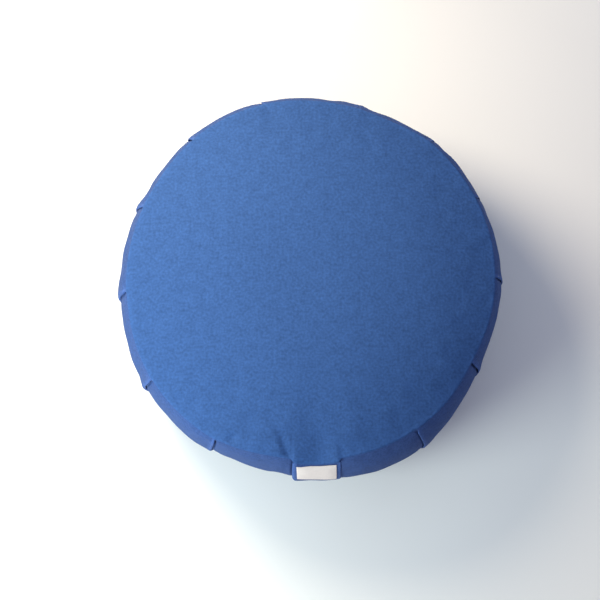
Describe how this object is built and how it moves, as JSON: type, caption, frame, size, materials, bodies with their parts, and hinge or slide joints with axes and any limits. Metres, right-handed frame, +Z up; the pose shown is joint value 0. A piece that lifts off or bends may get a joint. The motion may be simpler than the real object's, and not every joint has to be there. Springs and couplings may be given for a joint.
{
  "type": "zafu meditation cushion",
  "caption": "Round, firm floor cushion with a crowned top panel, a knife-pleated side band that bulges between its seams, and a small blank tag on the front",
  "frame": {"origin": "On the floor, under the middle of the cushion", "axes": "+Z up through the crown; the side with the tag faces -Y; +X to the right as the tag is seen from the front"},
  "size_m": [0.3509, 0.3501, 0.158],
  "materials": {
    "cotton": "matte blue woven cotton",
    "tag_tape": "off-white woven tape, left bare"
  },
  "bodies": {
    "root": {"top_panel": "cotton", "side_band": "cotton", "bottom_panel": "cotton", "tag": "tag_tape"}
  },
  "joints": []
}
